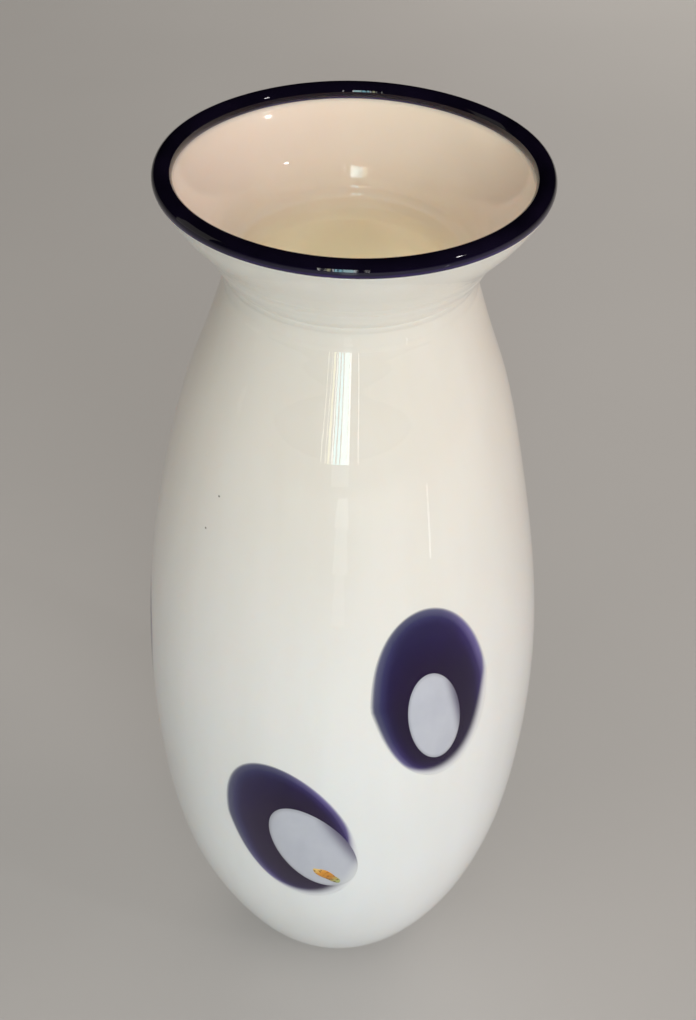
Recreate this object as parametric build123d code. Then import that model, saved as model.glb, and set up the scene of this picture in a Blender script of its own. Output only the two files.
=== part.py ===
from build123d import *
import os
from math import cos, radians, sin

os.makedirs("parts", exist_ok=True)

# A hand blown vase of cased glass: a white opal bubble under a clear casing, a dark wrap round its
# lip, and flattened violet chips with pale eyes held between the two layers.
# Millimetres. The origin is the middle of the foot on the table, +Z is up, and -Y is the front.

# Lip
vase_height = 300.0
lip_radius = 45.0
bead_radius = 2.3
bead_outer_angle = -20.0
bead_inner_angle = 213.0

# Foot
foot_radius = 24.5
foot_ring_width = 5.0
kick_height = 3.2
casing_floor = 5.2
opal_floor = 9.4
floor_radius = 14.0

# The front, as an angle from +X. The wall's section is drawn on the +X side.
front = -90.0

# Directions that the wall curves start and end in, and how hard each end pulls its spline.
level = Vector(1, 0, 0)
foot_rise = Vector(0.80, 0, 0.60)
lip_rise = Vector(0.42, 0, 0.91)
even_pull = [1.0, 1.0]

# The share of the wall that is clear casing. The rest is opal.
casing_share = 0.42

# Outside of the wall from foot to lip: radius, height and wall thickness at each place.
stations = [
    (35.5, 12.8, 6.0),  # heel
    (43.0, 27.9, 5.2),  # lower belly
    (54.2, 63.9, 4.4),  # belly
    (58.8, 107.0, 4.2),  # widest
    (56.8, 162.9, 4.2),  # upper belly
    (47.4, 216.9, 4.2),  # shoulder
    (39.9, 243.9, 4.2),  # under the neck
    (33.3, 262.8, 4.2),  # foot of the neck
    (32.1, 273.5, 4.2),  # neck
    (34.9, 282.1, 4.0),  # start of the flare
    (40.05, 288.9, 3.7),  # flare
]

# Layers of a spot: how far the violet chip sinks into the opal, the eye into the casing over it, and
# the fleck into the casing over the eye. A pocket is cut from a margin outside the layer it goes into,
# and the fleck's pocket from within the eye's. The bars that cut them reach this far each way.
chip_depth = 0.8
eye_depth = 0.6
fleck_depth = 0.3
fleck_pocket = eye_depth / 2
cutter_margin = 1.0
cutter_reach = 20.0

# Ovals on the wall: name, turn about +Z from the front towards +X, height of the middle, half width,
# half length, and lean of the top towards -X as seen from outside.
spots = [
    ("front_right", 27.5, 170.1, 16.1, 31.3, 6.5),
    ("front_left", -14.0, 113.5, 18.4, 32.6, 13.8),
    ("left", -92.0, 150.0, 16.5, 31.0, 9.0),
    ("back", -168.0, 172.0, 16.0, 30.0, 6.0),
    ("right", 119.0, 113.0, 17.0, 31.5, 12.0),
]
eyes = [
    ("front_right", 27.4, 163.0, 7.6, 16.6, 7.5),
    ("front_left", -7.2, 108.9, 11.4, 20.5, 22.1),
    ("left", -91.5, 143.5, 8.6, 17.5, 9.0),
    ("back", -167.5, 165.0, 8.0, 16.5, 6.0),
    ("right", 122.0, 107.0, 9.5, 18.5, 14.0),
]
fleck = ("amber_fleck", -3.1, 95.9, 1.9, 5.2, 48.0)

# The bead is a round section. Its centre and the two joins where the wall meets it from below.
bead_centre = Vector(lip_radius - bead_radius, 0, vase_height - bead_radius)


def on_bead(angle):
    """The point of the bead's section at an angle up from straight outward."""
    return bead_centre + Vector(cos(radians(angle)), 0, sin(radians(angle))) * bead_radius


outer_join = on_bead(bead_outer_angle)
inner_join = on_bead(bead_inner_angle)
foot_edge = Vector(foot_radius, 0, 0)
outer_points = [foot_edge] + [Vector(r, 0, z) for r, z, wall in stations] + [outer_join]
outside = Spline(*outer_points, tangents=[foot_rise, lip_rise], tangent_scalars=even_pull)


def inward(point, depth):
    """A point of the outside moved straight into the wall."""
    along = outside.tangent_at(point)
    outward = Vector(along.Z, 0, -along.X)
    return point - outward * depth


def wall_curve(share, extra, floor_height):
    """The curve inside the wall at a share of its thickness, plus a further depth in millimetres."""
    start = Vector(floor_radius, 0, floor_height + extra)
    rows = [inward(Vector(r, 0, z), share * wall + extra) for r, z, wall in stations]
    chord = inner_join - outer_join
    end = outer_join + chord * share + chord.normalized() * extra
    return Spline(start, *rows, end, tangents=[level, lip_rise], tangent_scalars=even_pull)


def casing_curve(extra=0.0):
    """The border of casing and opal, or a curve a little deeper or shallower."""
    return wall_curve(casing_share, extra, casing_floor)


def to_axis(curve):
    """The level line from the axis to where a wall curve starts."""
    start = curve @ 0
    return Line(Vector(0, 0, start.Z), start)


def turned(edges):
    """The solid that a closed outline sweeps out about the axis."""
    return revolve(make_face(edges), axis=Axis.Z)


def band(shallow, deep):
    """The whole layer of wall between two curves."""
    floor_side = Line(shallow @ 0, deep @ 0)
    lip_side = Line(shallow @ 1, deep @ 1)
    return turned([shallow, lip_side, deep, floor_side])


def cutter(turn, height, half_width, half_length, lean):
    """An oval bar that stands straight out of the wall at a place on it."""
    crossing = outside.intersect(Plane.XY.offset(height)).vertices()[0]
    middle = Vector(crossing.X, 0, height)
    along = outside.tangent_at(middle)
    outward = Vector(along.Z, 0, -along.X)
    face = Plane(origin=middle, x_dir=Vector(0, 1, 0), z_dir=outward)
    oval = face * Rot(0, 0, lean) * Ellipse(half_width, half_length)
    bar = extrude(oval, amount=cutter_reach, both=True)
    return Rot(0, 0, turn + front) * bar


def casing_solid():
    """The clear glass: the outside, the ground foot ring and the hollow of the kick."""
    border = casing_curve()
    ring_inner = Vector(foot_radius - foot_ring_width, 0, 0)
    ring = Line(ring_inner, foot_edge)
    kick_top = Vector(0, 0, kick_height)
    kick = TangentArc(kick_top, ring_inner, tangent=Vector(1, 0, 0))
    on_axis = Line(Vector(0, 0, casing_floor), kick_top)
    lip_side = Line(outer_join, border @ 1)
    return turned([kick, ring, outside, lip_side, border, to_axis(border), on_axis])


def opal_solid():
    """The white bubble that holds the flowers and the water."""
    border = casing_curve()
    inside = wall_curve(1.0, 0.0, opal_floor)
    on_axis = Line(Vector(0, 0, casing_floor), Vector(0, 0, opal_floor))
    lip_side = Line(border @ 1, inner_join)
    return turned([to_axis(border), border, lip_side, inside, to_axis(inside), on_axis])


def lip_solid():
    """The dark wrap: a round bead that sits on the end of the wall."""
    top = bead_centre + Vector(0, 0, bead_radius)
    bead = ThreePointArc(outer_join, top, inner_join)
    return turned([bead, Line(inner_join, outer_join)])


def middle_of(place):
    """Roughly where an oval lies, to tell it from what the bar cuts elsewhere on the wall."""
    turn, height = place[:2]
    return Vector(lip_radius * sin(radians(turn)), -lip_radius * cos(radians(turn)), height)


def inlay(place, shallow, deep):
    """The piece of a layer that lies under an oval."""
    cut = band(casing_curve(shallow), casing_curve(deep)) & cutter(*place)
    target = middle_of(place)
    return min(cut.solids(), key=lambda solid: (solid.center() - target).length)


casing = casing_solid()
opal = opal_solid()
pieces = {"lip_wrap": lip_solid()}

for name, *place in spots:
    pieces[name + "_spot"] = inlay(place, 0.0, chip_depth)
    opal -= inlay(place, -cutter_margin, chip_depth)

for name, *place in eyes:
    pieces[name + "_eye"] = inlay(place, -eye_depth, 0.0)
    casing -= inlay(place, -eye_depth, cutter_margin)

name, *place = fleck
pieces[name] = inlay(place, -eye_depth - fleck_depth, -eye_depth)
casing -= inlay(place, -eye_depth - fleck_depth, -fleck_pocket)

pieces["opal_body"] = opal
pieces["clear_casing"] = casing

for node, shape in pieces.items():
    export_step(shape, f"parts/{node}.step")
    print(node, len(shape.solids()), round(shape.volume, 1))
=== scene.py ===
import math

import bpy
import numpy as np
from mathutils import Matrix, Vector

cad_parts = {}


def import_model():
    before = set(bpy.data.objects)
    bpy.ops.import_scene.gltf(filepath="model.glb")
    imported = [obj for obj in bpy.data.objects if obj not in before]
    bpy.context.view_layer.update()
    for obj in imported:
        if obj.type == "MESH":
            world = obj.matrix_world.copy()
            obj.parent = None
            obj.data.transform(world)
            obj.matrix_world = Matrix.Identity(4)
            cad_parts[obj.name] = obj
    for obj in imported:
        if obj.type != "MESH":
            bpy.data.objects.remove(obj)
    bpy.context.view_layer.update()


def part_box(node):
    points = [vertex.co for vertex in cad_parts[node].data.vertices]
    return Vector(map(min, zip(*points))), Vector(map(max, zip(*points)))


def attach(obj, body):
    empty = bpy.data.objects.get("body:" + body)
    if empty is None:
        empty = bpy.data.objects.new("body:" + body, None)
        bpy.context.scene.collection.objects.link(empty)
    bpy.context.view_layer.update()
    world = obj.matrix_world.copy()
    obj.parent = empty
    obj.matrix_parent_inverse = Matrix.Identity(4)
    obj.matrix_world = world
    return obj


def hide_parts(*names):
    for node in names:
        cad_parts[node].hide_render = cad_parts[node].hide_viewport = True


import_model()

MM = 0.001

# ------------------------------------------------------------------ the wall, as the frame has it
# Lengths are in millimetres up to where a mesh is made, and in metres after that.

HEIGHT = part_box("lip_wrap")[1][2] / MM
LIP_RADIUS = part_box("lip_wrap")[1][0] / MM
BEAD_RADIUS = 2.3
BEAD_OUTER = math.radians(-20)
BEAD_INNER = math.radians(213)
FOOT_RADIUS = 24.5
FOOT_RING = 5.0
KICK = 3.2
CASING_FLOOR = 5.2
OPAL_FLOOR = 9.4
FLOOR_RADIUS = 14.0
CASING_SHARE = 0.42
FOOT_RISE = (0.80, 0.60)
LIP_RISE = (0.42, 0.91)
LEVEL = (1.0, 0.0)

# the outside of the wall from the heel to the flare: radius, height, wall thickness
STATIONS = [
    (35.5, 12.8, 6.0),
    (43.0, 27.9, 5.2),
    (54.2, 63.9, 4.4),
    (58.8, 107.0, 4.2),
    (56.8, 162.9, 4.2),
    (47.4, 216.9, 4.2),
    (39.9, 243.9, 4.2),
    (33.3, 262.8, 4.2),
    (32.1, 273.5, 4.2),
    (34.9, 282.1, 4.0),
    (40.05, 288.9, 3.7),
]

# ovals: turn from the front towards +X, height of the middle, half width, half length, lean
SPOTS = {
    "front_right": (27.5, 170.1, 16.1, 31.3, 6.5),
    "front_left": (-14.0, 113.5, 18.4, 32.6, 13.8),
    "left": (-92.0, 150.0, 16.5, 31.0, 9.0),
    "back": (-168.0, 172.0, 16.0, 30.0, 6.0),
    "right": (119.0, 113.0, 17.0, 31.5, 12.0),
}
EYES = {
    "front_right": (27.4, 163.0, 7.6, 16.6, 7.5),
    "front_left": (-7.2, 108.9, 11.4, 20.5, 22.1),
    "left": (-91.5, 143.5, 8.6, 17.5, 9.0),
    "back": (-167.5, 165.0, 8.0, 16.5, 6.0),
    "right": (122.0, 107.0, 9.5, 18.5, 14.0),
}
FLECK = (-3.1, 95.9, 1.9, 5.2, 48.0)

CHIP_DEPTH = 0.8
EYE_DEPTH = 0.6
FLECK_DEPTH = 0.3
PROUD = 0.04  # how far a piece stands out of the face under it, so that the two don't flicker

# dark seeds in the opal: their size, and the turn and height of each
SEED_SIZE = 0.34
SEED_PLACES = [(-43.9, 225.3), (-47.4, 214.3)]

CURVE_SAMPLES = 3000  # points of a wall curve where a height or a crossing is looked up


class Curve:
    """A smooth curve through points, with set directions at its ends: the wall's section."""

    def __init__(self, points, start, end):
        self.points = np.array(points, float)
        steps = np.hypot(*np.diff(self.points, axis=0).T)
        self.knots = np.concatenate([[0], np.cumsum(steps)])
        n = len(self.points)
        a, b = np.zeros((n, n)), np.zeros((n, 2))
        a[0, 0] = a[-1, -1] = 1
        b[0], b[-1] = start, end
        for i in range(1, n - 1):
            h0, h1 = steps[i - 1], steps[i]
            a[i, i - 1 : i + 2] = h1, 2 * (h0 + h1), h0
            rise0 = (self.points[i] - self.points[i - 1]) / h0
            rise1 = (self.points[i + 1] - self.points[i]) / h1
            b[i] = 3 * (h1 * rise0 + h0 * rise1)
        self.slopes = np.linalg.solve(a, b)

    def at(self, t, order=0):
        """Points at t, or directions for order 1."""
        t = np.clip(t, 0, self.knots[-1])
        i = np.clip(np.searchsorted(self.knots, t, side="right") - 1, 0, len(self.knots) - 2)
        h = (self.knots[i + 1] - self.knots[i])[:, None]
        u = (t - self.knots[i])[:, None] / h
        p0, p1 = self.points[i], self.points[i + 1]
        m0, m1 = self.slopes[i] * h, self.slopes[i + 1] * h
        if order:
            return (
                (6 * u**2 - 6 * u) * (p0 - p1)
                + (3 * u**2 - 4 * u + 1) * m0
                + (3 * u**2 - 2 * u) * m1
            ) / h
        return (
            (2 * u**3 - 3 * u**2 + 1) * p0
            + (u**3 - 2 * u**2 + u) * m0
            + (3 * u**2 - 2 * u**3) * p1
            + (u**3 - u**2) * m1
        )

    def rows(self, spacing, ringed=False):
        """Points about spacing apart along the curve, or a quarter of that where the jacks were."""
        t = np.linspace(0, self.knots[-1], int(self.knots[-1] / spacing) + 1)
        if ringed:
            height = self.at(t)[:, 1]
            neck = t[(height > JACKED_FROM) & (height < JACKED_TO)]
            t = np.sort(np.concatenate([t] + [neck + (t[1] - t[0]) * k / 4 for k in (1, 2, 3)]))
        return self.at(t)

    def samples(self):
        """Closely spaced points, to look a place up in."""
        return self.at(np.linspace(0, self.knots[-1], CURVE_SAMPLES))


bead_centre = np.array([LIP_RADIUS - BEAD_RADIUS, HEIGHT - BEAD_RADIUS])


def on_bead(angle):
    """The point of the bead's section at an angle up from straight outward."""
    return bead_centre + BEAD_RADIUS * np.array([math.cos(angle), math.sin(angle)])


outer_join, inner_join = on_bead(BEAD_OUTER), on_bead(BEAD_INNER)
outside = Curve([(FOOT_RADIUS, 0)] + [s[:2] for s in STATIONS] + [outer_join], FOOT_RISE, LIP_RISE)


def wall_curve(share, extra, floor):
    """The curve inside the wall at a share of its thickness, plus a further depth."""
    points = [(FLOOR_RADIUS, floor + extra)]
    along = outside.at(outside.knots[1:-1], 1)
    for (r, z, wall), (dr, dz) in zip(STATIONS, along):
        depth = (share * wall + extra) / math.hypot(dr, dz)
        points.append((r - dz * depth, z + dr * depth))
    chord = inner_join - outer_join
    points.append(outer_join + chord * share + chord / np.hypot(*chord) * extra)
    return Curve(points, LEVEL, LIP_RISE)


border = wall_curve(CASING_SHARE, 0, CASING_FLOOR)  # where the casing meets the opal
inside = wall_curve(1, 0, OPAL_FLOOR)

# ------------------------------------------------------------------ hand work

# the flare opens over these heights, and the rings of the jacks lie between those
NECK_Z, RIM_Z = 270.0, 297.0
JACKED_FROM, JACKED_TO = 267.0, 289.0
# soft swells of the wall: size, waves round the vase, start, and the rise that shifts it a radian
SWELLS = [(0.10, 2, 0.9, 90), (0.07, 3, 0.0, -60), (0.05, 5, 0.0, 41)]
# the mouth's unevenness: size, waves round it, start. Then its share outward and its share upward
WAVES = [(0.12, 2, 0.6), (0.08, 3, 2.1), (0.05, 5, 0.0)]
WAVE_OUT, WAVE_UP = 0.5, 0.8
RIM_DROP = 0.25  # keeps the uneven mouth within the height
# the widest place is drawn in, to leave room for the swells: height, depth, reach
WIDEST_Z, WIDEST_IN, WIDEST_REACH = 107.0, 0.24, 30
# the axis wanders sideways: how far, and about which height
LEANS = [(0.4, 35, 22), (-0.6, 205, 42)]
FLARE_LEAN = 0.25
MOUTH_STRETCH = (0.021, -0.032)  # the mouth is a little oval: wider from side to side
# nothing moves nearer the axis than the first radius, and the jacks reach nothing within the second
STILL_WITHIN, JACKS_FROM = 12, 25
# rings pressed in at the neck by the jacks: height, depth, half width, and how far they wander
JACK_LINES = [
    (275.9, 0.52, 0.75, 0.30),
    (273.2, 0.10, 0.60, 0.35),
    (269.6, 0.13, 0.90, 0.40),
    (280.0, 0.15, 0.50, 0.45),
    (282.9, 0.12, 0.50, 0.50),
    (285.8, 0.09, 0.55, 0.55),
]
# where the jacks squeezed the neck: height, depth, and how far the squeeze reaches below and above
PINCH_Z, PINCH, PINCH_BELOW, PINCH_ABOVE = 273.0, 1.35, 7.2, 3.6


def smooth(x, low, high):
    """0 up to low, 1 from high, and a soft step between them."""
    u = np.clip((x - low) / (high - low), 0, 1)
    return u * u * (3 - 2 * u)


def hump(x, middle, width):
    """1 at the middle, falling softly to 0 on both sides."""
    return np.exp(-(((x - middle) / width) ** 2))


def hand(points):
    """What the blower's hand leaves: an axis that isn't quite straight, soft swells, a mouth that
    isn't quite round or level, and jack lines at the neck. Both faces of the wall move alike."""
    p = np.array(points, float)
    r, turn, z = np.hypot(p[:, 0], p[:, 1]), np.arctan2(p[:, 1], p[:, 0]), p[:, 2]
    flare = smooth(z, NECK_Z, RIM_Z)
    belly = smooth(z, 8, 60) * (1 - smooth(z, 240, 270))
    swell = sum(size * np.sin(n * turn + start + z / rise) for size, n, start, rise in SWELLS)
    swell = (swell - WIDEST_IN * hump(z, WIDEST_Z, WIDEST_REACH)) * belly
    wave = sum(size * np.sin(n * turn + start) for size, n, start in WAVES)
    lines = sum(
        depth * hump(z, at + drift * np.sin(turn + at), width)
        for at, depth, width, drift in JACK_LINES
    )
    pinch = PINCH * hump(z, PINCH_Z, np.where(z < PINCH_Z, PINCH_BELOW, PINCH_ABOVE))
    moved = swell + wave * WAVE_OUT * flare - (lines + pinch) * (r > JACKS_FROM)
    scale = np.where(r > STILL_WITHIN, (r + moved) / np.maximum(r, 1e-6), 1)
    p[:, 0] *= scale * (1 + MOUTH_STRETCH[0] * flare)
    p[:, 1] *= scale * (1 + MOUTH_STRETCH[1] * flare)
    p[:, 0] += sum(size * hump(z, at, reach) for size, at, reach in LEANS) + FLARE_LEAN * flare
    p[:, 2] += flare * (wave * WAVE_UP - RIM_DROP)
    return p


# ------------------------------------------------------------------ mesh work

SEGMENTS = 224  # faces round the vase
SPACING = 1.2  # and their height


def make_object(name, points, faces, nodes):
    """A smooth-shaded piece in metres, which stands for CAD nodes and hides them."""
    mesh = bpy.data.meshes.new(name)
    corners = [tuple(v) for v in np.asarray(points) * MM]
    mesh.from_pydata(corners, [], [tuple(int(i) for i in f) for f in faces])
    mesh.validate()
    mesh.update()
    piece = bpy.data.objects.new(name, mesh)
    bpy.context.scene.collection.objects.link(piece)
    mesh.polygons.foreach_set("use_smooth", [True] * len(mesh.polygons))
    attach(piece, "root")
    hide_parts(*nodes)
    return piece


def turned(section, segments):
    """Points and faces of a closed section turned about the axis. A section that starts and ends on
    the axis closes there. One that doesn't is a ring."""
    section = np.asarray(section, float)
    on_axis = section[0, 0] < 1e-6
    rim = section[1:-1] if on_axis else section
    angle = np.linspace(0, 2 * np.pi, segments, endpoint=False)
    c, s = np.cos(angle), np.sin(angle)
    rows = len(rim)
    points = np.stack(
        [np.outer(rim[:, 0], c), np.outer(rim[:, 0], s), np.repeat(rim[:, 1:2], segments, 1)], -1
    ).reshape(-1, 3)
    i, j = np.meshgrid(np.arange(rows - 1 if on_axis else rows), np.arange(segments), indexing="ij")
    k, row, above = (j + 1) % segments, i * segments, (i + 1) % rows * segments
    faces = np.stack([row + j, row + k, above + k, above + j], -1).reshape(-1, 4)
    faces = [tuple(f) for f in faces]
    if on_axis:
        first, last = len(points), len(points) + 1
        points = np.concatenate([points, [(0, 0, section[0, 1]), (0, 0, section[-1, 1])]])
        base = (rows - 1) * segments
        for a in range(segments):
            b = (a + 1) % segments
            faces.append((first, b, a))
            faces.append((last, base + a, base + b))
    return points, faces


def add_attribute(piece, name, values):
    """A number for each point of a piece, which its material reads."""
    attribute = piece.data.attributes.new(name, "FLOAT", "POINT")
    attribute.data.foreach_set("value", np.asarray(values, np.float32))


LAP, FLOOR_LAP = 0.08, 0.4  # how far the casing's hidden face reaches into the opal
KICK_ROWS = 14
EDGE_SOFT = 0.6  # how far from its corners the worn foot ring starts to round over
RING_FLAT_TO = FOOT_RADIUS - 2.4


def foot():
    """The section of the underside from the axis out: the shallow kick and the ground foot ring."""
    ring_in = FOOT_RADIUS - FOOT_RING
    sphere = (ring_in**2 + KICK**2) / (2 * KICK)
    kick_r = np.linspace(0, ring_in, KICK_ROWS)
    kick = np.stack([kick_r, KICK - sphere + np.sqrt(sphere**2 - kick_r**2)], -1)
    worn_in = [(ring_in - EDGE_SOFT / 2, 0.12), (ring_in + EDGE_SOFT, 0.0)]
    worn_out = [(RING_FLAT_TO, 0.0), (FOOT_RADIUS - EDGE_SOFT, 0.06)]
    return np.concatenate([kick[:-1], worn_in, worn_out])


def casing():
    """The clear outer glass. Its hidden face reaches a hair into the opal, so that no gap shows."""
    out = outside.rows(SPACING, ringed=True)[1:]
    hidden = wall_curve(CASING_SHARE, LAP, CASING_FLOOR + FLOOR_LAP).rows(SPACING)[::-1]
    section = np.concatenate([foot(), out, hidden, [(0, hidden[-1, 1])]])
    points, faces = turned(section, SEGMENTS)
    return make_object("crystal_casing", hand(points), faces, ["clear_casing"])


def opal():
    """The white bubble."""
    out = border.rows(SPACING, ringed=True)
    inn = inside.rows(SPACING)[::-1]
    section = np.concatenate([[(0, out[0, 1])], out, inn, [(0, inn[-1, 1])]])
    points, faces = turned(section, SEGMENTS)
    piece = make_object("opal_bubble", hand(points), faces, ["opal_body"])
    bare = len(out) - 1  # the rows of faces from here on are the bare inside
    rows = [i // SEGMENTS for i in range(len(faces) - 2 * SEGMENTS)]
    ends = [0, 1] * SEGMENTS  # the faces at the axis, outer and inner by turns
    piece.data.polygons.foreach_set("material_index", [int(row >= bare) for row in rows] + ends)
    return piece


BEAD_ROWS = 28
BEAD_LAP = 0.12  # how far round, in radians, the bead reaches past its joins with the wall
BEAD_THINS = 0.9  # and how far from them its colour is thinner


def lip():
    """The dark wrap: a bead whose colour thins towards its joins with the wall."""
    around = np.linspace(BEAD_OUTER - BEAD_LAP, BEAD_INNER + BEAD_LAP, BEAD_ROWS)
    arc = bead_centre + BEAD_RADIUS * np.stack([np.cos(around), np.sin(around)], -1)
    under = np.array([arc[-1] + (0.9, 0.25), arc[0] + (-0.9, 0.25)])
    points, faces = turned(np.concatenate([arc, under]), SEGMENTS)
    piece = make_object("lip_bead", hand(points), faces, ["lip_wrap"])
    angle = np.linspace(BEAD_OUTER, BEAD_INNER, BEAD_ROWS)
    from_join = np.minimum(angle - BEAD_OUTER, BEAD_INNER - angle)
    thin = np.concatenate([1 - smooth(from_join, 0, BEAD_THINS), [1, 1]])
    add_attribute(piece, "thin", np.repeat(thin, SEGMENTS))
    return piece


def place_frame(turn, height):
    """An oval's middle on the outside of the wall, and its right, up and outward directions."""
    fine = outside.samples()
    near = np.argmin(abs(fine[:, 1] - height))
    step = fine[near + 1] - fine[near - 1]
    dr, dz = step / np.hypot(*step)
    a = math.radians(turn)
    radial = np.array([math.sin(a), -math.cos(a), 0])
    right = np.array([math.cos(a), math.sin(a), 0])
    up = radial * dr + np.array([0, 0, dz])
    outward = radial * dz - np.array([0, 0, dr])
    return radial * fine[near, 0] + np.array([0, 0, fine[near, 1]]), right, up, outward


OVALS_FROM, OVALS_TO = 12, 250  # heights that the ovals lie between, where the wall only rises
SEARCH_IN, SEARCH_OUT = -25.0, 3.0  # how far from an oval's plane the wall is looked for
HALVINGS = 40


def drop_on(curve, place, xy):
    """Where points of an oval's own plane land on a turned wall curve, straight along the oval's
    outward direction."""
    turn, height, _, _, lean = place
    middle, right, up, outward = place_frame(turn, height)
    lean = math.radians(lean)
    side = right * math.cos(lean) + up * math.sin(lean)
    length = up * math.cos(lean) - right * math.sin(lean)
    flat = middle + xy[:, :1] * side + xy[:, 1:] * length
    fine = curve.samples()
    fine = fine[fine[:, 1] > OVALS_FROM]
    fine = fine[: np.argmax(fine[:, 1] > OVALS_TO)]
    low, high = np.full(len(flat), SEARCH_IN), np.full(len(flat), SEARCH_OUT)
    for _ in range(HALVINGS):
        t = (low + high) / 2
        p = flat + t[:, None] * outward
        out = np.hypot(p[:, 0], p[:, 1]) > np.interp(p[:, 2], fine[:, 1], fine[:, 0])
        high, low = np.where(out, t, high), np.where(out, low, t)
    return flat + low[:, None] * outward


RINGS, SPOKES = ((34, 96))  # of an oval
CROWDING = 1.35  # over 1, an oval's rings lie closer together towards its rim


def oval_grid(half_width, half_length, shape):
    """Points of an oval from its middle outward, in its own plane, and how far out each is, from 0
    to 1."""
    rho = 1 - (1 - np.linspace(0, 1, RINGS + 1)) ** CROWDING
    angle = np.linspace(0, 2 * np.pi, SPOKES, endpoint=False)
    edge = np.stack([half_width * np.cos(angle), half_length * np.sin(angle)], -1)
    edge = edge * shape(angle)[:, None]
    points = np.concatenate([np.zeros((1, 2))] + [r * edge for r in rho[1:]])
    return points, np.repeat(rho, [1] + [SPOKES] * RINGS)


def disc_faces(base):
    """The faces of an oval's points, which are numbered from base."""
    faces = []
    for a in range(SPOKES):
        b = (a + 1) % SPOKES
        faces.append((base, base + 1 + a, base + 1 + b))
        for r in range(RINGS - 1):
            i = base + 1 + r * SPOKES
            faces.append((i + a, i + SPOKES + a, i + SPOKES + b, i + b))
    return faces


DIP_FROM = 0.975  # how far out a dipped rim starts to sink


class Drop:
    """A drop of glass pressed flat between two depths of the wall, even and full. It follows the
    even one, whose rim may dip, and thins towards the other: edge is the share of its thickness
    left at the rim, and a higher power keeps it thick further out. Its points keep where they lie in
    the oval, for the colours."""

    def __init__(
        self, place, even, full, edge=0.12, shape=np.ones_like, spread=0.0, power=4, dip=0.0
    ):
        turn, height, self.half_width, self.half_length, _ = place
        self.xy, self.rho = oval_grid(self.half_width + spread, self.half_length + spread, shape)
        even_face = drop_on(wall_curve(CASING_SHARE, even, CASING_FLOOR), place, self.xy)
        outward = place_frame(turn, height)[3]
        even_face = even_face - outward * dip * smooth(self.rho, DIP_FROM, 1.0)[:, None]
        full_face = drop_on(wall_curve(CASING_SHARE, full, CASING_FLOOR), place, self.xy)
        thick = (np.sqrt(np.clip(1 - self.rho**power, 0, 1)) * (1 - edge) + edge)[:, None]
        thin_face = even_face + (full_face - even_face) * thick
        self.outer, self.inner = (even_face, thin_face) if even < full else (thin_face, even_face)

    def unit(self):
        """Where each point is across and along the oval, from -1 to 1."""
        return self.xy[:, 0] / self.half_width, self.xy[:, 1] / self.half_length

    def build(self, name, slot, node, **values):
        """The closed piece that stands for a CAD node, with a number per point for each colour."""
        n = len(self.outer)
        rim = 1 + (RINGS - 1) * SPOKES
        faces = disc_faces(0) + [f[::-1] for f in disc_faces(n)]
        for a in range(SPOKES):
            b = (a + 1) % SPOKES
            faces.append((rim + a, n + rim + a, n + rim + b, rim + b))
        points = hand(np.concatenate([self.outer, self.inner]))
        piece = make_object(name, points, faces, [node])
        for label, value in values.items():
            add_attribute(piece, label, np.concatenate([value, value]))
        return piece


# where an oval's outline stands out in a soft corner: direction in degrees, and how far as a share
CORNERS = {
    "front_right": [(-1, 0.055), (175, 0.080)],
    "front_left": [(170, 0.045)],
    "left": [(30, 0.05), (200, 0.04)],
    "back": [(150, 0.06)],
    "right": [(350, 0.06), (190, 0.03)],
}
CORNER_WIDTH = 17.0


def cornered(name):
    """The share of an oval's radius at each angle, with that spot's corners."""

    def shape(angle):
        out = np.ones_like(angle)
        for at, height in CORNERS[name]:
            away = (np.degrees(angle) - at + 180) % 360 - 180
            out += height * np.exp(-abs(away) / CORNER_WIDTH)
        return out

    return shape


def distance_outside(points, place):
    """Roughly how far points lie outside an oval, along the wall."""
    turn, height, half_width, half_length, lean = place
    middle, right, up, _ = place_frame(turn, height)
    lean = math.radians(lean)
    x, y = (points - middle) @ right, (points - middle) @ up
    x, y = x * math.cos(lean) + y * math.sin(lean), y * math.cos(lean) - x * math.sin(lean)
    ratio = np.hypot(x / half_width, y / half_length)
    return (ratio - 1) * np.hypot(x, y) / np.maximum(ratio, 1e-6)


EDGE_SPREAD = 0.45  # how far a chip's edge reaches past its oval
CHIP_DIP = 4 * PROUD
CRISP, BLEED = 1.3, 5.6  # width of a chip's fade where it is crisp, and how much more where it bleeds
DEEP_FROM_EDGE, DEEP_NEAR_EYE = 7, 14  # a chip is full this far in, and darkens this near its eye


def chip(name):
    """A violet chip. Its edge is crisp at the top and left, and bleeds into the white at the bottom
    and right."""
    drop = Drop(
        SPOTS[name], -PROUD, CHIP_DEPTH, shape=cornered(name), spread=EDGE_SPREAD, dip=CHIP_DIP
    )
    across, along = drop.unit()
    from_edge = (1 - drop.rho) * np.hypot(*drop.xy.T) / np.maximum(drop.rho, 1e-6)
    from_edge[0] = drop.half_width
    from_eye = distance_outside(drop.outer, EYES[name])
    fade = CRISP + BLEED * smooth(0.45 * across - 0.9 * along, 0.25, 1.0)
    near_eye = 1 - smooth(from_eye, 1, DEEP_NEAR_EYE)
    deep = smooth(from_edge, 0, DEEP_FROM_EDGE) * (0.58 + 0.42 * near_eye)
    return drop.build(
        name + "_chip",
        "violet_chip",
        name + "_spot",
        solid=smooth(from_edge, 0, fade),
        deep=deep,
        cool=smooth(along - across, -0.3, 1.0),
    )


EYE_SUNK = 0.1  # how far an eye reaches into the chip under it


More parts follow.
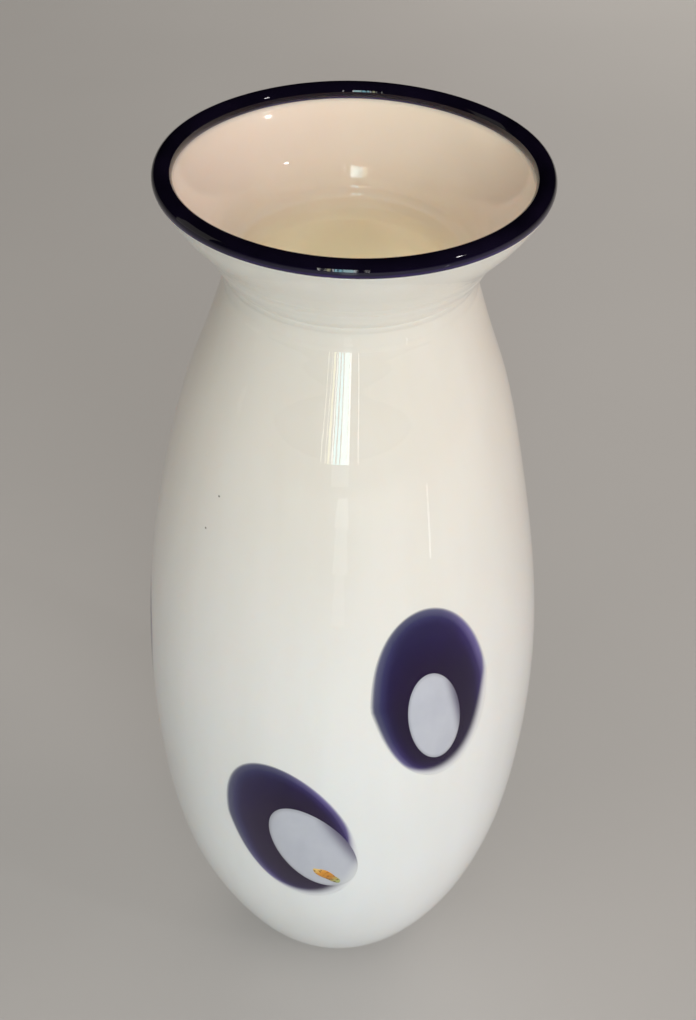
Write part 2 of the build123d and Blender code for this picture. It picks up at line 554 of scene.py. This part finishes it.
def eye(name):
    """A pale eye, darker on its right with painted shade, and thin enough at its rim that the violet
    under it shows through. The front left one melts into the white at its lower right."""
    drop = Drop(EYES[name], EYE_SUNK, -EYE_DEPTH, edge=0.18, power=3)
    across, along = drop.unit()
    # painted shade along the eye's right side
    painted_shade_right = smooth(across + 0.12 * along, 0.45, 1.15)
    shade = np.maximum(0.9 * painted_shade_right, 0.35 * smooth(drop.rho, 0.88, 1.0))
    melt = 0.6 * smooth(-0.85 * along + 0.5 * across, 0.72, 1.02) * (name == "front_left")
    shade = shade * (1 - 0.7 * melt)
    return drop.build(name + "_pale_eye", "lavender_eye", name + "_eye", shade=shade, melt=melt)


def amber():
    """The amber sliver, lumpy like a crumb of glass drawn out."""

    def lumpy(angle):
        return 1 + 0.10 * np.sin(3 * angle + 0.7) + 0.05 * np.sin(5 * angle)

    drop = Drop(FLECK, -EYE_DEPTH * 0.5, -EYE_DEPTH - FLECK_DEPTH, edge=0.4, shape=lumpy, power=3)
    return drop.build("amber_sliver", "amber_glass", "amber_fleck", along=drop.unit()[1])


# ------------------------------------------------------------------ materials


OPAL_SPREAD = (0.0016, 0.0014, 0.0012)  # how far red, green and blue light spread in the opal


class Nodes:
    """A short way to write a material's nodes."""

    def __init__(self, name):
        self.material = bpy.data.materials.new(name)
        self.material.use_nodes = True
        self.tree = self.material.node_tree
        self.tree.nodes.clear()
        self.out = self.add("ShaderNodeOutputMaterial")

    def add(self, kind, **settings):
        node = self.tree.nodes.new(kind)
        for key, value in settings.items():
            setattr(node, key, value)
        return node

    def link(self, a, b):
        self.tree.links.new(a, b)

    def attribute(self, name):
        return self.add("ShaderNodeAttribute", attribute_name=name).outputs["Fac"]

    def place(self, scale=(1, 1, 1)):
        """Where a point lies in the frame, in metres, or a stretched copy of that."""
        where = self.add("ShaderNodeTexCoord").outputs["Object"]
        mapping = self.add("ShaderNodeMapping")
        mapping.inputs["Scale"].default_value = scale
        self.link(where, mapping.inputs["Vector"])
        return mapping.outputs["Vector"]

    def separate(self, vector):
        node = self.add("ShaderNodeSeparateXYZ")
        self.link(vector, node.inputs[0])
        return node.outputs

    def near(self, point, size):
        """1 close to a point, given in metres, and 0 away from it."""
        node = self.add("ShaderNodeVectorMath", operation="DISTANCE")
        self.link(self.place(), node.inputs[0])
        node.inputs[1].default_value = point
        return self.range(node.outputs["Value"], size * 0.6, size, 1, 0)

    def noise(self, scale, detail=3.0, stretch=(1, 1, 1), rough=0.5):
        node = self.add("ShaderNodeTexNoise")
        node.inputs["Scale"].default_value = scale
        node.inputs["Detail"].default_value = detail
        node.inputs["Roughness"].default_value = rough
        self.link(self.place(stretch), node.inputs["Vector"])
        return node.outputs["Fac"]

    def ramp(self, fac, stops):
        node = self.add("ShaderNodeValToRGB")
        ramp = node.color_ramp
        while len(ramp.elements) < len(stops):
            ramp.elements.new(0.5)
        for element, (at, colour) in zip(ramp.elements, stops):
            element.position = at
            element.color = (*colour, 1)
        self.link(fac, node.inputs["Fac"])
        return node.outputs["Color"]

    def range(self, fac, low, high, to_low, to_high):
        """A soft step from to_low, where fac is low, to to_high, where it is high."""
        node = self.add("ShaderNodeMapRange", interpolation_type="SMOOTHSTEP")
        ends = (("From Min", low), ("From Max", high), ("To Min", to_low), ("To Max", to_high))
        for label, value in ends:
            node.inputs[label].default_value = value
        self.link(fac, node.inputs["Value"])
        return node.outputs["Result"]

    def mix(self, fac, a, b, mode="MIX"):
        node = self.add("ShaderNodeMix", data_type="RGBA", blend_type=mode)
        for socket, value in ((node.inputs[0], fac), (node.inputs[6], a), (node.inputs[7], b)):
            if isinstance(value, (tuple, list)):
                socket.default_value = (*value, 1)
            elif isinstance(value, (int, float)):
                socket.default_value = value
            else:
                self.link(value, socket)
        return node.outputs[2]

    def bump(self, height, strength, distance, normal=None):
        node = self.add("ShaderNodeBump")
        node.inputs["Strength"].default_value = strength
        node.inputs["Distance"].default_value = distance
        self.link(height, node.inputs["Height"])
        if normal is not None:
            self.link(normal, node.inputs["Normal"])
        return node.outputs["Normal"]

    def principled(self, **settings):
        node = self.add("ShaderNodeBsdfPrincipled")
        for key, value in settings.items():
            socket = node.inputs[key.replace("_", " ")]
            if isinstance(value, bpy.types.NodeSocket):
                self.link(value, socket)
            else:
                socket.default_value = value
        self.link(node.outputs[0], self.out.inputs["Surface"])
        return node


def opal_colour(n):
    """Milk white with painted shade and light: darker and warmer towards the neck, and whiter low
    down, as the light falls. Also a faint drift, streaks drawn out up and down the wall, and two dark
    seeds."""
    height = n.separate(n.place())["Z"]
    # painted shade: darker and warmer high on the wall; painted light: whiter low down
    painted_shade_tint, white = (0.792, 0.757, 0.700), (0.822, 0.834, 0.848)
    base = n.mix(n.range(height, 0.10, 0.27, 0, 1), white, painted_shade_tint)
    drift = n.ramp(n.noise(11, 2), [(0.35, (0.965, 0.96, 0.945)), (0.65, (1, 1, 1))])
    drawn = n.noise(60, 3, (1, 1, 0.08), 0.6)
    streaks = n.ramp(drawn, [(0.30, (0.97, 0.962, 0.95)), (0.62, (1, 1, 1))])
    colour = n.mix(1.0, n.mix(1.0, base, drift, "MULTIPLY"), streaks, "MULTIPLY")
    for seed in SEEDS:
        colour = n.mix(n.near(seed, SEED_SIZE * MM), colour, (0.17, 0.14, 0.11))
    return colour


def opal_material():
    """The opal's outer face. It lies under the casing, so it has no gloss of its own."""
    n = Nodes("milk_opal")
    n.principled(
        Base_Color=opal_colour(n),
        Roughness=0.6,
        Specular_IOR_Level=0.0,
        Subsurface_Weight=1.0,
        Subsurface_Radius=OPAL_SPREAD,
        Subsurface_Scale=1.0,
    )
    return n.material


def opal_inside_material():
    """The bare inside of the bubble, in painted light: warmer, because the light there has come
    through the wall, pinker on the left and khaki low down, as the light falls there.
    """
    n = Nodes("milk_opal_inside")
    place = n.separate(n.place())
    # painted light: pink on the left, peach on the right, khaki low down
    pink, peach, khaki = (0.900, 0.775, 0.680), (0.880, 0.790, 0.670), (0.900, 0.860, 0.740)
    painted_side_light = n.mix(n.range(place["X"], -0.04, 0.03, 0, 1), pink, peach)
    colour = n.mix(n.range(place["Z"], 0.255, 0.292, 0, 1), khaki, painted_side_light)
    cloud = n.ramp(n.noise(28, 3, (1, 1, 0.6)), [(0.35, (0.975, 0.97, 0.96)), (0.65, (1, 1, 1))])
    colour = n.mix(1.0, colour, cloud, "MULTIPLY")
    n.principled(
        Base_Color=colour,
        Roughness=n.range(n.noise(140, 2), 0.3, 0.7, 0.05, 0.10),
        IOR=1.5,
        Subsurface_Weight=1.0,
        Subsurface_Radius=OPAL_SPREAD,
        Subsurface_Scale=1.0,
        Normal=n.bump(n.noise(30, 2, (1, 1, 0.5)), 0.2, 0.0006),
    )
    return n.material


def crystal_material():
    """Clear glass with soft swells, fine upright cords and barely worn patches."""
    n = Nodes("clear_crystal_glass")
    swell = n.noise(22, 2, (1, 1, 0.45))
    cords = n.noise(160, 2, (1, 1, 0.03))
    n.principled(
        Base_Color=(1, 1, 1, 1),
        Roughness=n.range(n.noise(80, 3), 0.35, 0.75, 0.0, 0.03),
        IOR=1.45,
        Transmission_Weight=1.0,
        Normal=n.bump(cords, 0.10, 0.00015, n.bump(swell, 0.18, 0.0006)),
    )
    return n.material


def wrap_material():
    """Near-black violet that is bluer where it thins, a little smudged."""
    n = Nodes("dark_violet_glass")
    black, dark, blue = (0.0035, 0.0025, 0.007), (0.006, 0.003, 0.022), (0.030, 0.016, 0.090)
    colour = n.ramp(n.attribute("thin"), [(0.0, black), (0.55, dark), (1.0, blue)])
    drift = n.ramp(n.noise(70, 3, (1, 1, 2)), [(0.3, (0.6, 0.6, 0.65)), (0.7, (1.4, 1.3, 1.5))])
    smudge = n.noise(180, 4, (1, 1, 1), 0.6)
    n.principled(
        Base_Color=n.mix(1.0, colour, drift, "MULTIPLY"),
        Roughness=n.range(smudge, 0.45, 0.75, 0.03, 0.14),
        IOR=1.5,
        Normal=n.bump(n.noise(240, 2), 0.10, 0.0004),
    )
    return n.material


def violet_material():
    """Near-black violet where the chip is deep, violet or a cooler blue-grey where it thins, and
    the opal's colour past its edge."""
    n = Nodes("violet_glass_chip")
    black = (1.0, (0.007, 0.0, 0.024))
    violet = [
        (0.0, (0.150, 0.125, 0.29)),
        (0.3, (0.026, 0.014, 0.092)),
        (0.65, (0.009, 0.001, 0.040)),
        black,
    ]
    cool = [
        (0.0, (0.090, 0.095, 0.15)),
        (0.3, (0.026, 0.024, 0.090)),
        (0.65, (0.008, 0.002, 0.042)),
        black,
    ]
    deep = n.attribute("deep")
    colour = n.mix(n.attribute("cool"), n.ramp(deep, violet), n.ramp(deep, cool))
    cloud = n.noise(110, 3, (1, 1, 0.4))
    cloud = n.ramp(cloud, [(0.3, (0.82, 0.82, 0.85)), (0.7, (1.15, 1.12, 1.2))])
    colour = n.mix(1.0, colour, cloud, "MULTIPLY")
    solid = n.attribute("solid")
    n.principled(
        Base_Color=n.mix(solid, opal_colour(n), colour),
        Roughness=0.6,
        Specular_IOR_Level=0.0,
        Subsurface_Weight=n.range(solid, 0, 0.6, 0.8, 0),
        Subsurface_Radius=(0.0010, 0.0010, 0.0010),
        Subsurface_Scale=1.0,
    )
    return n.material


def lavender_material():
    """Pale grey lavender, violet where the eye thins at its rim and darker in the painted shade on
    its right, and the opal's colour where it melts.
    """
    n = Nodes("pale_lavender_opal")
    cloud = n.noise(170, 4, (1, 1, 0.6))
    pale = n.ramp(cloud, [(0.3, (0.475, 0.485, 0.550)), (0.7, (0.520, 0.530, 0.590))])
    shaded = n.mix(n.range(n.attribute("shade"), 0, 1, 0, 1), pale, (0.075, 0.062, 0.125))
    n.principled(
        Base_Color=n.mix(n.attribute("melt"), shaded, opal_colour(n)),
        Roughness=0.6,
        Specular_IOR_Level=0.0,
        Subsurface_Weight=0.3,
        Subsurface_Radius=(0.0010, 0.0010, 0.0014),
        Subsurface_Scale=1.0,
    )
    return n.material


def amber_material():
    """Amber, paler at one end with a painted glint and greener at the other with a painted coloured
    glint, with dark crumbs.
    """
    n = Nodes("amber_glass_sliver")
    down = n.range(n.attribute("along"), 1, -1, 0, 1)
    # the pale first stop is a painted glint, the green last stop a painted iridescent glint
    colour = n.ramp(
        down,
        [
            (0.0, (0.80, 0.55, 0.18)),
            (0.2, (0.66, 0.27, 0.025)),
            (0.7, (0.50, 0.20, 0.02)),
            (1.0, (0.36, 0.40, 0.14)),
        ],
    )
    crumbs = n.ramp(n.noise(1100, 2), [(0.36, (0.22, 0.10, 0.04)), (0.44, (1, 1, 1))])
    amber = n.mix(1.0, colour, crumbs, "MULTIPLY")
    n.principled(Base_Color=amber, Roughness=0.3, Specular_IOR_Level=0.0)
    return n.material


def floor_material():
    """Plain and pale, with a barely uneven tone."""
    n = Nodes("pale_floor")
    tone = n.ramp(n.noise(3, 3), [(0.3, (0.480, 0.470, 0.460)), (0.7, (0.505, 0.495, 0.485))])
    n.principled(Base_Color=tone, Roughness=0.65, IOR=1.35)
    return n.material


# ------------------------------------------------------------------ the vase

def seed_point(turn, height):
    """A place on the outer face of the opal, in metres."""
    fine = border.samples()
    r = np.interp(height, fine[:, 1], fine[:, 0])
    a = math.radians(turn)
    return tuple(hand([(r * math.sin(a), -r * math.cos(a), height)])[0] * MM)


SEEDS = [seed_point(*place) for place in SEED_PLACES]

bubble = opal()
bubble.data.materials.append(opal_material())
bubble.data.materials.append(opal_inside_material())
shell = casing()
shell.data.materials.append(crystal_material())
# Light reaches the opal as if the clear glass weren't there, which spares it the grain of light
# bent through glass.
shell.visible_shadow = False
shell.visible_diffuse = False
lip().data.materials.append(wrap_material())
amber().data.materials.append(amber_material())
violet, lavender = violet_material(), lavender_material()
for name in SPOTS:
    for oval, stuff in ((chip(name), violet), (eye(name), lavender)):
        oval.data.materials.append(stuff)
        # or the light that spreads in the opal would draw a line round it
        oval.visible_shadow = False

# ------------------------------------------------------------------ floor, light and camera


FLOOR_HALF, FLOOR_POINTS, FLOOR_GAP = 12.0, 48, 0.00002  # metres, and points along each side


def floor():
    """The plain floor, a hair under the foot ring."""
    n = FLOOR_POINTS
    at = np.linspace(-FLOOR_HALF, FLOOR_HALF, n)
    corners = [i + j * n for j in range(n - 1) for i in range(n - 1)]
    faces = [(a, a + 1, a + 1 + n, a + n) for a in corners]
    mesh = bpy.data.meshes.new("floor")
    mesh.from_pydata([(x, y, -FLOOR_GAP) for y in at for x in at], [], faces)
    plane = bpy.data.objects.new("floor", mesh)
    bpy.context.scene.collection.objects.link(plane)
    mesh.materials.append(floor_material())


def softbox(name, place, target, width, height, radiance, colour, mirrored=True):
    """A soft lamp that faces a target. The camera doesn't see it, and glossy glass only sees it if
    it is mirrored."""
    light = bpy.data.lights.new(name, "AREA")
    light.shape = "RECTANGLE"
    light.size, light.size_y, light.color = width, height, colour
    light.energy = radiance * math.pi * width * height
    lamp = bpy.data.objects.new(name, light)
    lamp.location = place
    lamp.rotation_euler = (Vector(target) - Vector(place)).to_track_quat("-Z", "Y").to_euler()
    lamp.visible_camera = False
    lamp.visible_glossy = mirrored
    bpy.context.scene.collection.objects.link(lamp)


# the window's panes: middle from left to right, width, radiance and colour
PANES = [
    (-0.430, 0.012, 7, (1.0, 1.0, 0.90)),
    (-0.350, 0.014, 6, (1.0, 1.0, 0.85)),
    (-0.295, 0.040, 6, (1.0, 1.0, 0.62)),
    (-0.235, 0.020, 9, (0.95, 1.0, 1.0)),
    (-0.190, 0.040, 9, (0.50, 0.90, 1.0)),
    (-0.125, 0.045, 9, (0.45, 0.88, 1.0)),
    (-0.030, 0.105, 9, (0.65, 0.97, 1.0)),
    (0.045, 0.030, 12, (0.95, 1.0, 1.0)),
    (0.220, 0.014, 7, (1.0, 0.98, 0.95)),
]
WINDOW_Y, WINDOW_LOW, WINDOW_HIGH = -1.6, 0.19, 0.95


def window():
    """The window whose streak shows on the shoulder, and its sill."""
    middle, tall = (WINDOW_LOW + WINDOW_HIGH) / 2, WINDOW_HIGH - WINDOW_LOW
    for i, (x, width, radiance, colour) in enumerate(PANES):
        softbox(f"pane_{i}", (x, WINDOW_Y, middle), (x, 0, middle), width, tall, radiance, colour)
    place, facing = (-0.08, WINDOW_Y, 0.12), (-0.08, 0, 0.12)
    softbox("sill", place, facing, 0.30, 0.14, 0.9, (0.9, 0.97, 1.0))


# the window's light on the table, brighter and wider further off: near edge, far edge, width and
# radiance of each strip
SHEEN = [(-0.46, -0.62, 0.055, 0.5), (-0.62, -0.90, 0.09, 0.9), (-0.90, -1.45, 0.13, 1.4)]
SHEEN_X, SHEEN_Z = -0.01, 0.004


def sheen():
    """What the glass mirrors of the window's light on the table in front of it."""
    for near, far, width, radiance in SHEEN:
        y = (near + far) / 2
        place, above = (SHEEN_X, y, SHEEN_Z), (SHEEN_X, y, 1)
        softbox("sheen", place, above, width, near - far, radiance, (0.92, 0.97, 1.0))


def world():
    """A dim, even sky that glossy glass doesn't mirror."""
    sky = bpy.data.worlds.new("studio")
    bpy.context.scene.world = sky
    sky.use_nodes = True
    back = sky.node_tree.nodes["Background"]
    back.inputs["Color"].default_value = (1.0, 0.95, 0.89, 1)
    back.inputs["Strength"].default_value = 0.24
    sky.cycles_visibility.glossy = False


def camera():
    """It stands close over the front of the vase and looks down at it."""
    place = Vector((0, -0.2695, 0.4413))
    pitch, yaw, roll = math.radians(42.73), math.radians(0.155), math.radians(1.427)
    level = math.cos(pitch)
    forward = Vector((level * math.sin(yaw), level * math.cos(yaw), -math.sin(pitch)))
    right = Vector((math.cos(yaw), -math.sin(yaw), 0))
    up = right.cross(forward)
    side = right * math.cos(roll) + up * math.sin(roll)
    top = up * math.cos(roll) - right * math.sin(roll)
    data = bpy.data.cameras.new("camera")
    data.sensor_width = 36.0
    data.lens = 45.88
    data.clip_start = 0.01
    eye_point = bpy.data.objects.new("camera", data)
    turn = Matrix((side, top, -forward)).transposed().to_4x4()
    eye_point.matrix_world = Matrix.Translation(place) @ turn
    bpy.context.scene.collection.objects.link(eye_point)
    bpy.context.scene.camera = eye_point


MIDDLE = (0, 0, 0.17)

# The lamps: place, what they face, width, height, radiance, colour, and whether glossy glass mirrors
# them. The throat's lamp stands for the light that comes through the wall and gathers there.
LAMPS = {
    "slit": ((0.42, -0.37, 0.065), (0, 0, 0.065), 0.010, 0.12, 3, (0.95, 0.97, 1.0), True),
    "dot": ((1.10, -0.64, 1.10), MIDDLE, 0.07, 0.07, 60, (1.0, 0.97, 0.95), True),
    "front": ((0.45, -1.50, 0.70), MIDDLE, 1.0, 0.8, 4.4, (1.0, 0.975, 0.98), False),
    "right": ((1.4, -0.1, 0.55), MIDDLE, 0.7, 1.0, 2.1, (1.0, 0.86, 0.76), False),
    "right_glow": ((1.4, -0.1, 0.55), MIDDLE, 0.7, 1.0, 0.8, (1.0, 0.93, 0.88), True),
    "left": ((-1.4, 0.0, 0.55), MIDDLE, 0.7, 1.0, 0.35, (1.0, 0.95, 0.85), True),
    "back": ((0.5, 1.40, 0.60), MIDDLE, 1.0, 1.0, 2.6, (1.0, 0.95, 0.88), False),
    "over": ((-0.25, -0.55, 1.45), MIDDLE, 1.0, 1.0, 1.5, (1.0, 0.90, 0.83), False),
    "throat": ((0, 0, 0.12), (0, 0, 1), 0.05, 0.05, 5.5, (1.0, 0.95, 0.88), False),
}


floor()
world()
window()
sheen()
for name, settings in LAMPS.items():
    softbox(name, *settings)
camera()

bpy.context.scene.view_settings.view_transform = "Standard"
bpy.context.scene.view_settings.look = "None"
bpy.context.scene.view_settings.exposure = 0.0
